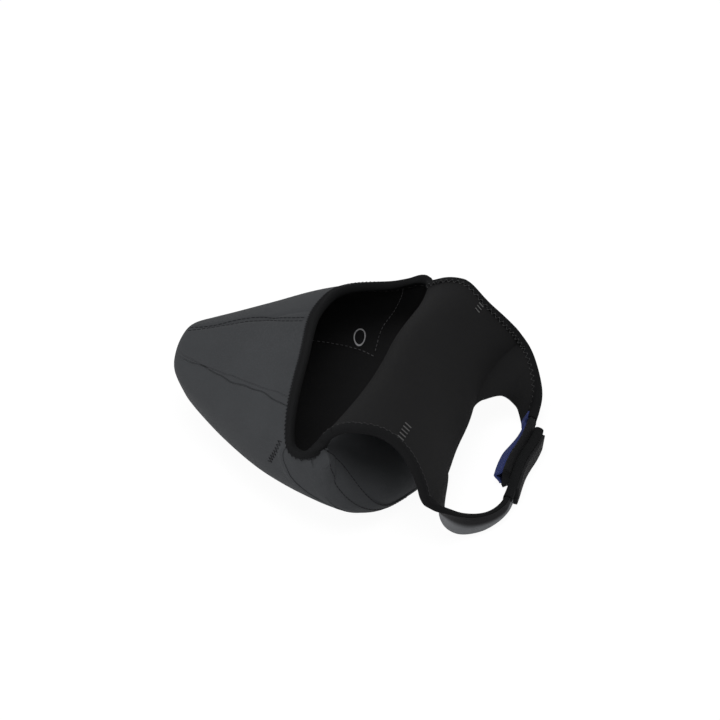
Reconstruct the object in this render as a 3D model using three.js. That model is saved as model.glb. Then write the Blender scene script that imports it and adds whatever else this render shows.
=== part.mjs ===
// Neoprene camera sleeve: a tapered lens nose, an open mouth, and a back flap that folds out of
// the mouth and ends in a ring of two arms closed by a hook tab.
// Millimetres. X runs along the lens axis (nose towards -X), Y across the camera, Z up from the table.
// The origin is on the flat underside, below the middle of the mouth.
import * as THREE from 'three';
import { mergeVertices } from 'three/addons/utils/BufferGeometryUtils.js';

// Driving sizes
const faceThickness = 2.8;
const liningThickness = 0.9;
const seamGap = 0.3;
const seamClear = 2;
const plyGap = 0.5;
const bindingThickness = 0.9;
const bindingDepth = 5;
const bindingGap = 0.5;
const noseLength = 108;
const tipRadius = 28;
const bodyHalfWidth = 97;
const bodyDepth = 75;
const mouthHeight = 82;
const notchHeight = 62;
const mouthScoop = 20;
const notchWidth = 13;
const tipLift = 11;
const tipTilt = 0.2;
const mouthSkew = 6;
const flatDepth = 0.6;
const foldDepth = 26;
const crestDepth = 43;
const crestHeight = 83;
const crestHalfWidth = 81;
const holeDepth = 81;
const holeHeight = 29;
const armRootDepth = 91;
const armRootHeight = 41;
const armRootHalfWidth = 87;
const ringDepth = 120;
const ringHeight = 14;
const tabLength = 58;
const tabThickness = 5.4;
const loopThickness = 2.8;
const tapeThickness = 1.6;

// Sizes that follow from them
const sheetThickness = faceThickness + plyGap + liningThickness;
const nearHoleShare = 0.52;
const farHoleShare = 0.4;
const flapSkew = 0.18 * armRootHalfWidth;
const flapWaist = 0.06 * armRootHalfWidth;
const floorClear = 0.6;

const degrees = THREE.MathUtils.degToRad;
const lerp = THREE.MathUtils.lerp;
const vec = (x, y, z) => new THREE.Vector3(x, y, z);
const group = new THREE.Group();

// Finishes
const grey = new THREE.MeshStandardMaterial({ color: 0x3b3d3f, roughness: 0.85, metalness: 0 });
const black = new THREE.MeshStandardMaterial({ color: 0x141516, roughness: 0.9, metalness: 0 });
const tape = new THREE.MeshStandardMaterial({ color: 0x1f2022, roughness: 0.8, metalness: 0 });
const blue = new THREE.MeshStandardMaterial({ color: 0x2b3a86, roughness: 0.7, metalness: 0 });

// Solids from welded triangles

function addSolid(name, material, corners, triangles) {
  const raw = new THREE.BufferGeometry();
  raw.setAttribute('position', new THREE.Float32BufferAttribute(corners.flatMap((p) => [p.x, p.y, p.z]), 3));
  raw.setIndex(triangles);
  const welded = mergeVertices(raw, 1e-4);
  const index = Array.from(welded.index.array);
  const kept = [];
  for (let i = 0; i < index.length; i += 3) {
    const [a, b, c] = index.slice(i, i + 3);
    if (a !== b && b !== c && c !== a) kept.push(a, b, c);
  }
  if (signedVolume(welded.attributes.position, kept) < 0) kept.reverse();
  welded.setIndex(kept);
  welded.computeVertexNormals();
  const mesh = new THREE.Mesh(welded, material);
  mesh.name = name;
  group.add(mesh);
}

function signedVolume(position, index) {
  const [a, b, c] = [vec(), vec(), vec()];
  let sum = 0;
  for (let i = 0; i < index.length; i += 3) {
    a.fromBufferAttribute(position, index[i]);
    b.fromBufferAttribute(position, index[i + 1]);
    c.fromBufferAttribute(position, index[i + 2]);
    sum += a.dot(b.cross(c)) / 6;
  }
  return sum;
}

// Unit normal of a surface, by central differences; at a pole it is taken just beside it.
function surfaceNormal(surface, u, v) {
  const step = 1e-3;
  const along = surface(u + step, v).sub(surface(u - step, v));
  const across = surface(u, v + step).sub(surface(u, v - step));
  const normal = along.cross(across);
  return normal.lengthSq() > 1e-14 ? normal.normalize() : surfaceNormal(surface, u, v + 10 * step);
}

function offsetPoint(surface, u, v, offset) {
  const point = surface(u, v).addScaledVector(surfaceNormal(surface, u, v), offset);
  point.z = Math.max(point.z, 0);
  return point;
}

// A closed sheet between two offsets of a surface patch. stops lists the u values of its rows;
// from and to give the v limits at each u. A closed sheet runs right round in u.
function addSheet(name, material, surface, patch) {
  const { stops, from, to, vSteps, near, far, closed = false } = patch;
  const uSteps = stops.length - 1;
  const corners = [];
  for (const offset of [near, far]) {
    for (const u of stops) {
      for (let j = 0; j <= vSteps; j += 1) {
        corners.push(offsetPoint(surface, u, lerp(from(u), to(u), j / vSteps), offset));
      }
    }
  }
  const layer = (uSteps + 1) * (vSteps + 1);
  const at = (i, j, side) => side * layer + i * (vSteps + 1) + j;
  const triangles = [];
  const quad = (a, b, c, d) => triangles.push(a, b, c, a, c, d);
  for (let i = 0; i < uSteps; i += 1) {
    for (let j = 0; j < vSteps; j += 1) {
      quad(at(i, j, 0), at(i + 1, j, 0), at(i + 1, j + 1, 0), at(i, j + 1, 0));
      quad(at(i, j, 1), at(i, j + 1, 1), at(i + 1, j + 1, 1), at(i + 1, j, 1));
    }
    quad(at(i, 0, 0), at(i, 0, 1), at(i + 1, 0, 1), at(i + 1, 0, 0));
    quad(at(i, vSteps, 0), at(i + 1, vSteps, 0), at(i + 1, vSteps, 1), at(i, vSteps, 1));
  }
  for (let j = 0; j < vSteps && !closed; j += 1) {
    quad(at(0, j, 0), at(0, j + 1, 0), at(0, j + 1, 1), at(0, j, 1));
    quad(at(uSteps, j, 0), at(uSteps, j, 1), at(uSteps, j + 1, 1), at(uSteps, j + 1, 0));
  }
  addSolid(name, material, corners, triangles);
}

// Evenly spaced values from start to end, both included.
function spread(start, end, steps) {
  return Array.from({ length: steps + 1 }, (_, i) => lerp(start, end, i / steps));
}

const constant = (value) => () => value;

// A binding of U section folded over the edge of a sheet. edge(t, depth) gives a point and a normal
// at a distance inwards from the edge; the sheet lies between the offsets high and low.
function addBinding(name, edge, { stops, high, low }) {
  const [inner, top, bottom] = [-bindingGap, high + bindingGap, low - bindingGap];
  const section = [
    [bindingDepth, top],
    [inner, top],
    [inner, bottom],
    [bindingDepth, bottom],
    [bindingDepth, bottom - bindingThickness],
    [inner - bindingThickness, bottom - bindingThickness],
    [inner - bindingThickness, top + bindingThickness],
    [bindingDepth, top + bindingThickness],
  ];
  const count = section.length;
  const steps = stops.length - 1;
  const corners = [];
  for (const stop of stops) {
    for (const [depth, offset] of section) {
      const { point, normal } = edge(stop, depth);
      corners.push(point.addScaledVector(normal, offset));
    }
  }
  const triangles = [];
  const quad = (a, b, c, d) => triangles.push(a, b, c, a, c, d);
  for (let i = 0; i < steps; i += 1) {
    for (let k = 0; k < count; k += 1) {
      const next = (k + 1) % count;
      quad(i * count + k, i * count + next, (i + 1) * count + next, (i + 1) * count + k);
    }
  }
  const last = steps * count;
  for (const [a, b, c, d] of [[0, 1, 6, 7], [1, 2, 5, 6], [2, 3, 4, 5]]) {
    quad(d, c, b, a);
    quad(last + a, last + b, last + c, last + d);
  }
  addSolid(name, tape, corners, triangles);
}

// Pouch surface: rounded sections along X, from the nose tip to the rear of the body.
// Each station holds the depth, the half width and the half height of its section.
const stations = new THREE.CatmullRomCurve3([
  vec(-noseLength, 0, 0),
  vec(-0.99 * noseLength, 0.6 * tipRadius, 0.6 * tipRadius),
  vec(-0.96 * noseLength, 0.88 * tipRadius, 0.86 * tipRadius),
  vec(-0.88 * noseLength, 0.35 * bodyHalfWidth, tipRadius),
  vec(-0.56 * noseLength, 0.6 * bodyHalfWidth, 0.4 * mouthHeight),
  vec(-0.2 * noseLength, 0.85 * bodyHalfWidth, 0.485 * mouthHeight),
  vec(0.2 * bodyDepth, bodyHalfWidth, 0.5 * mouthHeight),
  vec(0.6 * bodyDepth, 1.01 * bodyHalfWidth, 0.44 * mouthHeight),
  vec(bodyDepth, 0.84 * bodyHalfWidth, 0.32 * mouthHeight),
  vec(1.1 * bodyDepth, 0.62 * bodyHalfWidth, 0.26 * mouthHeight),
]);

function stationAt(depth) {
  let low = 0;
  let high = 1;
  for (let i = 0; i < 40; i += 1) {
    const middle = (low + high) / 2;
    if (stations.getPoint(middle).x < depth) low = middle;
    else high = middle;
  }
  return (low + high) / 2;
}

// Angle 0 is the near side (-Y), a quarter turn is the top, a half turn the far side.
const signedPower = (value, power) => Math.sign(value) * Math.abs(value) ** power;

function pouchPoint(angle, along) {
  const { x, y: halfWidth, z: halfHeight } = stations.getPoint(THREE.MathUtils.clamp(along, 0, 1));
  const squareness = THREE.MathUtils.clamp(1 + x / noseLength, 0, 1);
  const exponent = Math.sin(angle) > 0 ? 2.2 + 0.8 * squareness : 2.3;
  const y = -halfWidth * signedPower(Math.cos(angle), 2 / exponent);
  const rise = halfHeight * signedPower(Math.sin(angle), 2 / exponent);
  const noseShare = THREE.MathUtils.clamp(-x / noseLength, 0, 1);
  const lift = tipLift * noseShare ** 1.5;
  const centre = Math.max(halfHeight, tipRadius * noseShare) + lift;
  return vec(x - tipTilt * rise * noseShare ** 4, y, centre + rise - flatDepth);
}

// Rim of the pouch: the scooped front of the mouth above the notches, the back seam below them.
const notchAngle = degrees(21);
const notchDepth = 2;
const notchFloorShare = 0.04;
const notchTurn = Math.PI / 2 - notchAngle;

function rimDepth(angle) {
  const turn = THREE.MathUtils.euclideanModulo(angle + Math.PI / 2, 2 * Math.PI) - Math.PI;
  const fromTop = Math.abs(turn);
  if (fromTop < notchTurn) {
    const skew = mouthSkew * Math.sin(Math.PI * turn / notchTurn);
    return notchDepth - mouthScoop * (1 - (fromTop / notchTurn) ** 3) - skew;
  }
  const below = (fromTop - notchTurn) / (Math.PI - notchTurn);
  const floor = notchDepth + notchWidth * THREE.MathUtils.smoothstep(below, 0, notchFloorShare);
  return floor + (bodyDepth - seamClear - notchDepth - notchWidth) * below ** 1.2;
}

// The gusset at each end of the mouth is a leaf between the notch and the back seam.
const gussetFoot = degrees(-18);
const gussetWidth = 17;

function gussetFront(angle) {
  const side = Math.cos(angle) > 0 ? angle : Math.PI - angle;
  const share = THREE.MathUtils.clamp((notchAngle - side) / (notchAngle - gussetFoot), 0, 1);
  const chord = lerp(notchDepth - seamClear / 2, rimDepth(gussetFoot) - seamClear, share);
  return chord - gussetWidth * Math.sin(Math.PI * share);
}

const rimAlong = (angle) => stationAt(rimDepth(angle));
const gussetAlong = (angle) => stationAt(gussetFront(angle));
const besideGusset = (angle) => stationAt(gussetFront(angle) - seamGap);
const mirror = (angle) => Math.PI - angle;

// Nose gores and end gussets
const tipOpening = constant(stationAt(-0.998 * noseLength));
const nearSeam = degrees(51);
const farSeam = degrees(100);
const bottomSeam = degrees(262);
const goreGap = degrees(0.22);
const notchFloor = notchAngle - notchFloorShare * (Math.PI - notchTurn);
const outerPly = { near: 0, far: faceThickness };
const innerPly = { near: faceThickness + plyGap, far: sheetThickness };
const gussetStops = [...spread(gussetFoot, notchFloor, 6), (notchFloor + notchAngle) / 2, notchAngle];
const bottomNear = bottomSeam - 2 * Math.PI;

function goreEdge(angle) {
  const side = Math.cos(angle) > 0 ? angle : mirror(angle);
  const inside = side <= notchAngle + 1e-6 && side >= gussetFoot - 1e-6;
  return inside ? besideGusset(angle) : rimAlong(angle);
}

const topStops = spread(nearSeam + goreGap, farSeam - goreGap, 8);
const nearStops = [
  ...spread(bottomNear + goreGap, gussetFoot, 10).slice(0, -1), ...gussetStops,
  ...spread(notchAngle, nearSeam - goreGap, 5).slice(1),
];
const farStops = [
  ...spread(farSeam + goreGap, mirror(notchAngle), 8).slice(0, -1), ...gussetStops.map(mirror).reverse(),
  ...spread(mirror(gussetFoot), bottomSeam - goreGap, 8).slice(1),
];
const gores = [['top', topStops], ['near', nearStops], ['far', [...farStops].reverse()]];
for (const [name, stops] of gores) {
  addSheet(`nose_${name}_gore`, grey, pouchPoint, {
    stops, from: tipOpening, to: goreEdge, vSteps: 12, ...outerPly,
  });
}
addSheet('near_gusset', grey, pouchPoint, {
  stops: gussetStops, from: gussetAlong, to: rimAlong, vSteps: 6, ...outerPly,
});
addSheet('far_gusset', grey, pouchPoint, {
  stops: gussetStops.map(mirror), from: gussetAlong, to: rimAlong, vSteps: 6, ...outerPly,
});
addSheet('pouch_lining', black, pouchPoint, {
  stops: [...nearStops, ...topStops, ...farStops, nearStops[0] + 2 * Math.PI],
  from: tipOpening, to: rimAlong, vSteps: 12, closed: true, ...innerPly,
});

// Binding over the front of the mouth, from notch to notch
function rimEdge(angle, depth) {
  const along = stationAt(rimDepth(angle) - depth);
  return { point: pouchPoint(angle, along), normal: surfaceNormal(pouchPoint, angle, along) };
}

const bindingStart = notchAngle + degrees(3);
addBinding('mouth_binding', rimEdge, {
  stops: spread(bindingStart, mirror(bindingStart), 36), high: sheetThickness, low: 0,
});

// Back sheet: from the back seam up to the fold line, over the crest and down to the ring.
// across runs -1..1 from the near edge to the far edge. rise 0..1 is the back wall, 1..2 the neck up
// to the crest, 2..3 the flap down to the ring. Its base surface is the lining side.
const foldHalfWidth = 0.87 * bodyHalfWidth;
const edgeFoldDepth = notchDepth + notchWidth + seamClear;
const seamTop = notchAngle - degrees(10);
const endClear = 4;
const bellyShare = 0.5;
const flapTurn = degrees(75);
const edgeTurn = degrees(60);

function backSeamPoint(across) {
  const angle = lerp(seamTop, -Math.PI - seamTop, (across + 1) / 2);
  const along = stationAt(rimDepth(angle) + seamGap + endClear * across ** 6);
  return offsetPoint(pouchPoint, angle, along, sheetThickness);
}

function foldPoint(across) {
  return vec(lerp(foldDepth, edgeFoldDepth, across ** 2), foldHalfWidth * across, notchHeight);
}

function wallPoint(across, rise) {
  const foot = backSeamPoint(across);
  const top = foldPoint(across);
  const reach = foot.distanceTo(top) / 3;
  const belly = foot.clone().add(vec(bellyShare * reach, 0, reach));
  const waist = top.clone().add(vec(0, 0, -reach));
  return new THREE.CubicBezierCurve3(foot, belly, waist, top).getPoint(rise);
}

function flapPoint(across, rise) {
  const square = across ** 2;
  if (rise < 2) {
    const turn = (rise - 1) * Math.PI / 2;
    const start = lerp(foldDepth, edgeFoldDepth, square);
    const halfWidth = lerp(foldHalfWidth, crestHalfWidth, rise - 1);
    const x = lerp(start, crestDepth, 1 - Math.cos(turn));
    const z = lerp(notchHeight, crestHeight, Math.sin(turn));
    return vec(x, halfWidth * across, z);
  }
  const fall = rise - 2;
  const arc = (turn, depth, drop) => [
    depth * Math.sin(turn * fall) / Math.sin(turn),
    drop * (1 - Math.cos(turn * fall)) / (1 - Math.cos(turn)),
  ];
  const [midDepth, midDrop] = arc(flapTurn, holeDepth - crestDepth, crestHeight - holeHeight);
  const [edgeDepth, edgeDrop] = arc(edgeTurn, armRootDepth - crestDepth, crestHeight - armRootHeight);
  const halfWidth = lerp(crestHalfWidth, armRootHalfWidth, fall ** 2) - flapWaist * Math.sin(Math.PI * fall);
  return vec(
    crestDepth + lerp(midDepth - flapSkew * across * fall ** 2, edgeDepth, square),
    halfWidth * across,
    crestHeight - lerp(midDrop, edgeDrop, square),
  );
}

const backSheet = (across, rise) => (rise < 1 ? wallPoint(across, rise) : flapPoint(across, rise));

const wallEnd = 1 - 0.008;
const neckStart = 1 + 0.012;
const neckEnd = 2 - 0.005;
const flapStart = 2 + 0.003;
const flapEnd = 3 - 0.003;
const flapBindingEnd = 2.9;
const lining = { near: 0, far: liningThickness };
const face = { near: liningThickness + plyGap, far: sheetThickness };

const backPieces = [
  ['back_wall', 22, 7, 0, wallEnd],
  ['neck', 20, 6, neckStart, neckEnd],
  ['flap', 20, 10, flapStart, flapEnd],
];
for (const [name, uSteps, vSteps, start, end] of backPieces) {
  const patch = { stops: spread(-1, 1, uSteps), from: constant(start), to: constant(end), vSteps };
  addSheet(`${name}_panel`, grey, backSheet, { ...patch, ...face });
  addSheet(`${name}_lining`, black, backSheet, { ...patch, ...lining });
}

// Bindings along both edges of the neck and the flap
for (const [name, side] of [['near', -1], ['far', 1]]) {
  const sideEdge = (rise, depth) => {
    const across = side * (1 - depth / foldHalfWidth);
    return { point: backSheet(across, rise), normal: surfaceNormal(backSheet, across, rise) };
  };
  const sheet = { high: sheetThickness, low: 0 };
  addBinding(`neck_binding_${name}`, sideEdge, { stops: spread(neckStart, neckEnd, 10), ...sheet });
  addBinding(`flap_binding_${name}`, sideEdge, { stops: spread(flapStart, flapBindingEnd, 14), ...sheet });
}

// Arms of the ring: bands between the edge of the hole and the outer edge of the flap. Each starts its
// edges on the flap, just above the hem, and leaves the flap along that hem.
const hemRise = 3;
const edgeRises = [hemRise - 0.2, hemRise];
const hemReach = 0.25;

function armSurface(side, holeShare, outer, inner) {
  const edge = (share, points) => {
    const roots = edgeRises.map((rise) => backSheet(side * share, rise));
    const line = new THREE.CatmullRomCurve3([...roots, ...points]);
    const start = 1 / (points.length + 1);
    return (along) => line.getPoint(THREE.MathUtils.clamp(lerp(start, 1, along), 0, 1));
  };
  const innerEdge = edge(holeShare, inner);
  const outerEdge = edge(1, outer);
  return (along, width) => {
    const band = innerEdge(along).lerp(outerEdge(along), width);
    const root = innerEdge(0).lerp(outerEdge(0), width);
    const hem = backSheet(side * lerp(holeShare, 1, width), hemRise);
    return band.addScaledVector(hem.sub(root), 1 - THREE.MathUtils.smoothstep(along, 0, hemReach));
  };
}

// Points on the two edges of the ring: how far each lies towards its rear, and out to its side.
const outerPoint = (rear, out, height) => vec(
  lerp(armRootDepth, ringDepth, rear), out * armRootHalfWidth, height,
);
const innerPoint = (rear, out, height = floorClear) => vec(
  lerp(holeDepth, ringDepth, rear), out * armRootHalfWidth, height,
);
const outerFall = (share) => lerp(armRootHeight, ringHeight, share);
const innerFall = (share) => lerp(holeHeight, floorClear, share);
const elbowHeight = ringHeight + 2;
const farEndOuter = outerPoint(0.69, 0.505, ringHeight);
const farEndInner = innerPoint(0.667, 0.505);

const farArm = armSurface(1, farHoleShare, [
  outerPoint(0.31, 0.925, outerFall(0.3)), outerPoint(0.6, 0.78, outerFall(0.7)),
  outerPoint(0.67, 0.62, elbowHeight), farEndOuter,
], [
  innerPoint(0.295, 0.6, innerFall(0.28)), innerPoint(0.45, 0.63, innerFall(0.58)),
  innerPoint(0.577, 0.575, innerFall(0.83)), farEndInner,
]);
const nearArm = armSurface(-1, nearHoleShare, [
  outerPoint(0.33, -0.915, outerFall(0.3)), outerPoint(0.6, -0.77, outerFall(0.7)),
  outerPoint(0.88, -0.595, elbowHeight), outerPoint(0.985, -0.32, ringHeight),
  outerPoint(0.96, 0.06, ringHeight), outerPoint(0.935, 0.425, ringHeight),
], [
  innerPoint(0.36, -0.69, innerFall(0.63)), innerPoint(0.51, -0.73, innerFall(0.93)),
  innerPoint(0.8, -0.63), innerPoint(0.955, -0.36),
  innerPoint(0.935, 0.06), innerPoint(0.895, 0.425),
]);

for (const [side, surface, flip, root] of [['far', farArm, -1, 0.004], ['near', nearArm, 1, 0.009]]) {
  const patch = { stops: spread(root, 1, 16), from: constant(0), to: constant(1), vSteps: 6 };
  const ply = ({ near, far }) => ({ ...patch, near: flip * near, far: flip * far });
  addSheet(`${side}_arm`, grey, surface, ply(face));
  addSheet(`${side}_arm_lining`, black, surface, ply(lining));
}

// Closure: the hook tab carries on from the far arm, inside the end of the near arm.
const [tabTopLean, tabBottomLean] = [2, 3];
const tabEdge = (end, lean) => new THREE.LineCurve3(
  end.clone().add(vec(0, -seamGap, 0)), end.clone().add(vec(lean, -tabLength, 0)),
);
const tabTop = tabEdge(farEndOuter, tabTopLean);
const tabBottom = tabEdge(farEndInner, tabBottomLean);
const tabSurface = (along, width) => tabBottom.getPoint(along).lerp(tabTop.getPoint(along), width);
const wholeTab = { stops: spread(0, 1, 10), from: constant(0), to: constant(1), vSteps: 3 };
const tapeLayer = { near: seamGap, far: seamGap + tapeThickness };
addSheet('hook_tab', tape, tabSurface, { ...wholeTab, near: 0, far: -tabThickness });
addSheet('hook_tape', blue, tabSurface, {
  stops: spread(0.02, 0.98, 10), from: constant(0.06), to: constant(0.94), vSteps: 3, ...tapeLayer,
});
addSheet('hook_stub', blue, farArm, {
  stops: spread(0.84, 0.985, 5), from: constant(0.2), to: constant(0.92), vSteps: 3, ...tapeLayer,
});
addSheet('loop_patch', tape, nearArm, {
  stops: spread(0.68, 0.985, 10), from: constant(0.04), to: constant(0.96), vSteps: 3,
  near: sheetThickness + seamGap, far: sheetThickness + seamGap + loopThickness,
});

export default group;
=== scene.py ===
"""Looks of a neoprene camera sleeve: soft panels, linings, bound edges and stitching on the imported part.

Metres, in the part's own frame: X along the lens axis with the nose towards -X, Y across the camera, Z up.
"""

import math

import bpy
import numpy as np
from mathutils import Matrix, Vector


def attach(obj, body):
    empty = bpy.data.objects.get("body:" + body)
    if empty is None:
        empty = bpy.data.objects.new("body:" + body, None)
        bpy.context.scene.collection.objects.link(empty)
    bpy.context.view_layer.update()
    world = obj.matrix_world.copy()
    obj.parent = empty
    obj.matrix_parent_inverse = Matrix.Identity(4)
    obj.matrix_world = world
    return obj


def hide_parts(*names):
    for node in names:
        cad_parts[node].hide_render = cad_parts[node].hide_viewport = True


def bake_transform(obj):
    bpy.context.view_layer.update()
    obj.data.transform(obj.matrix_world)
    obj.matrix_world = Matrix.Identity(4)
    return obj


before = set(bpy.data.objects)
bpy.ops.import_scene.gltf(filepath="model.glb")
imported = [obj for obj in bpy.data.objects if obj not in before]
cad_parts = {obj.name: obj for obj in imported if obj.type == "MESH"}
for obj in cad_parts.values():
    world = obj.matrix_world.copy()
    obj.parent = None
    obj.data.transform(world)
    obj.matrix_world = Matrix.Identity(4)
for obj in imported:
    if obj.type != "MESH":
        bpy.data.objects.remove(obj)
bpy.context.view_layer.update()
MM = 0.001

# Sizes of the sleeve
FACE_PLY = 3.2 * MM
LINING_PLY = 0.9 * MM
SHEET = 4.2 * MM
SEAM_CLEAR = 2 * MM
END_CLEAR = 4 * MM
NOSE_LENGTH = 108 * MM
TIP_RADIUS = 28 * MM
TIP_LIFT = 11 * MM
TIP_TILT = 0.2
CHIN_ROUND = 5 * MM
BODY_HALF_WIDTH = 97 * MM
BODY_DEPTH = 75 * MM
MOUTH_HEIGHT = 82 * MM
MOUTH_SCOOP = 20 * MM
MOUTH_SKEW = 6 * MM
NOTCH_HEIGHT = 62 * MM
NOTCH_WIDTH = 13 * MM
NOTCH_DEPTH = 2 * MM
FLAT_DEPTH = 0.6 * MM
FOLD_DEPTH = 26 * MM
CREST_DEPTH = 43 * MM
CREST_HEIGHT = 83 * MM
CREST_HALF_WIDTH = 81 * MM
HOLE_DEPTH = 81 * MM
HOLE_HEIGHT = 29 * MM
NEAR_HOLE_SHARE = 0.52
FAR_HOLE_SHARE = 0.4
ARM_ROOT_DEPTH = 91 * MM
ARM_ROOT_HEIGHT = 41 * MM
ARM_ROOT_HALF_WIDTH = 87 * MM
RING_DEPTH = 120 * MM
RING_HEIGHT = 14 * MM
TAB_LENGTH = 58 * MM
TAB_PLY = 5.4 * MM
LOOP_PLY = 2.8 * MM
TAPE_PLY = 1.6 * MM
FLOOR_CLEAR = 0.6 * MM
BINDING_DEPTH = 3.2 * MM
BINDING_PLY = 0.9 * MM
LAP_PLY = 1.6 * MM
TRIM_LIFT = 0.2 * MM

# Sizes that follow from them
FLAP_SKEW = 0.18 * ARM_ROOT_HALF_WIDTH
FLAP_WAIST = 0.06 * ARM_ROOT_HALF_WIDTH
FOLD_HALF_WIDTH = 0.87 * BODY_HALF_WIDTH
EDGE_FOLD_DEPTH = NOTCH_DEPTH + NOTCH_WIDTH + SEAM_CLEAR

# How far the flap turns down as it falls, in its middle and at its edges
FLAP_TURN = math.radians(75)
EDGE_TURN = math.radians(60)

# Angles round the pouch: 0 on the near side, a quarter turn at the top, a half turn on the far side
NOTCH_ANGLE = math.radians(21)
NOTCH_TURN = math.pi / 2 - NOTCH_ANGLE
NOTCH_FLOOR_SHARE = 0.04
SEAM_TOP = NOTCH_ANGLE - math.radians(10)
GUSSET_FOOT = math.radians(-18)
GUSSET_WIDTH = 17 * MM
NEAR_SEAM = math.radians(51)
FAR_SEAM = math.radians(100)
CROWN_SEAM = math.radians(94.5)
CROWN_SEAM_SWAY = math.radians(8.5)
BOTTOM_SEAM = math.radians(262)

# Steps and limits for the meshes
NORMAL_STEP = 1e-3
WELD_REACH = 1e-3 * MM
SHARP_EDGE = math.radians(60)


# Plain helpers on arrays

def mix(a, b, share):
    return a + (b - a) * share


def smoothstep(value, low, high):
    share = np.clip((value - low) / (high - low), 0, 1)
    return share * share * (3 - 2 * share)


def bump(value, centre, width):
    return np.exp(-((value - centre) / width) ** 2)


def unit(vectors):
    return vectors / np.maximum(np.linalg.norm(vectors, axis=-1, keepdims=True), 1e-12)


def points(x, y, z):
    return np.stack(np.broadcast_arrays(x, y, z), axis=-1)


def smooth_line(corners):
    """A centripetal curve through the corners, as a function of a share from 0 to 1."""
    corners = np.array(corners, float)
    count = len(corners) - 1
    padded = np.vstack([2 * corners[0] - corners[1], corners, 2 * corners[-1] - corners[-2]])
    steps = np.sqrt(np.linalg.norm(np.diff(padded, axis=0), axis=1))
    before, start, end, after = padded[:-3], padded[1:-2], padded[2:-1], padded[3:]
    first, step, last = (steps[i:i + count, None] for i in range(3))
    leave = step * ((start - before) / first - (end - before) / (first + step) + (end - start) / step)
    arrive = step * ((end - start) / step - (after - start) / (step + last) + (after - end) / last)
    square = 3 * (end - start) - 2 * leave - arrive
    cube = 2 * (start - end) + leave + arrive

    def at(share):
        place = np.clip(share, 0, 1) * count
        piece = np.minimum(place.astype(int), count - 1)
        t = (place - piece)[..., None]
        return start[piece] + t * (leave[piece] + t * (square[piece] + t * cube[piece]))

    return at


def bezier(start, leave, arrive, end, share):
    t = share[..., None]
    return (1 - t) ** 3 * start + 3 * (1 - t) ** 2 * t * leave + 3 * (1 - t) * t * t * arrive + t ** 3 * end


def normals(surface, u, v):
    along = surface(u + NORMAL_STEP, v) - surface(u - NORMAL_STEP, v)
    across = surface(u, v + NORMAL_STEP) - surface(u, v - NORMAL_STEP)
    return unit(np.cross(along, across))


# The pouch: rounded sections along X, each with its depth, half width and half height

STATIONS = smooth_line([
    (-NOSE_LENGTH, 0, 0),
    (-0.99 * NOSE_LENGTH, 0.6 * TIP_RADIUS, 0.6 * TIP_RADIUS),
    (-0.96 * NOSE_LENGTH, 0.88 * TIP_RADIUS, 0.86 * TIP_RADIUS),
    (-0.88 * NOSE_LENGTH, 0.35 * BODY_HALF_WIDTH, TIP_RADIUS),
    (-0.56 * NOSE_LENGTH, 0.6 * BODY_HALF_WIDTH, 0.4 * MOUTH_HEIGHT),
    (-0.2 * NOSE_LENGTH, 0.85 * BODY_HALF_WIDTH, 0.485 * MOUTH_HEIGHT),
    (0.2 * BODY_DEPTH, BODY_HALF_WIDTH, 0.5 * MOUTH_HEIGHT),
    (0.6 * BODY_DEPTH, 1.01 * BODY_HALF_WIDTH, 0.44 * MOUTH_HEIGHT),
    (BODY_DEPTH, 0.84 * BODY_HALF_WIDTH, 0.32 * MOUTH_HEIGHT),
    (1.1 * BODY_DEPTH, 0.62 * BODY_HALF_WIDTH, 0.26 * MOUTH_HEIGHT),
])
STATION_SHARES = np.linspace(0, 1, 4001)
STATION_DEPTHS = STATIONS(STATION_SHARES)[:, 0]
UPPER_ROUND = 2.2
UPPER_SQUARING = 0.8
UNDER_ROUND = 2.3


def station_at(depth):
    return np.interp(depth, STATION_DEPTHS, STATION_SHARES)


def signed_power(value, power):
    return np.sign(value) * np.abs(value) ** power


def pouch(angle, along):
    station = STATIONS(along)
    x, half_width, half_height = station[..., 0], station[..., 1], station[..., 2]
    squareness = np.clip(1 + x / NOSE_LENGTH, 0, 1)
    power = 2 / np.where(np.sin(angle) > 0, UPPER_ROUND + UPPER_SQUARING * squareness, UNDER_ROUND)
    nose_share = np.clip(-x / NOSE_LENGTH, 0, 1)
    rise = half_height * signed_power(np.sin(angle), power)
    tip_rest = TIP_RADIUS * nose_share
    centre = (half_height + tip_rest + np.hypot(half_height - tip_rest, CHIN_ROUND)) / 2
    centre = centre + TIP_LIFT * nose_share ** 1.5
    return points(x - TIP_TILT * rise * nose_share ** 4,
                  -half_width * signed_power(np.cos(angle), power),
                  centre + rise - FLAT_DEPTH)


def pouch_normal(angle, along):
    """The way into the pouch; at the tip it turns to the axis, so that a sheet closes there."""
    margin = 0.012
    own = normals(pouch, angle, np.maximum(along, margin))
    axis = np.array([1, 0, TIP_TILT])
    return unit(mix(axis, own, smoothstep(along, 0, margin)[..., None]))


def rim_depth(angle):
    turn = np.mod(angle + math.pi / 2, 2 * math.pi) - math.pi
    from_top = np.abs(turn)
    skew = MOUTH_SKEW * np.sin(math.pi * turn / NOTCH_TURN)
    front = NOTCH_DEPTH - MOUTH_SCOOP * (1 - np.minimum(from_top / NOTCH_TURN, 1) ** 3) - skew
    below = np.maximum(from_top - NOTCH_TURN, 0) / (math.pi - NOTCH_TURN)
    floor = NOTCH_DEPTH + NOTCH_WIDTH * smoothstep(below, 0, NOTCH_FLOOR_SHARE)
    back = floor + (BODY_DEPTH - SEAM_CLEAR - NOTCH_DEPTH - NOTCH_WIDTH) * below ** 1.2
    return np.where(from_top < NOTCH_TURN, front, back)


def near_side(angle):
    return np.where(np.cos(angle) > 0, angle, math.pi - angle)


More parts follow.
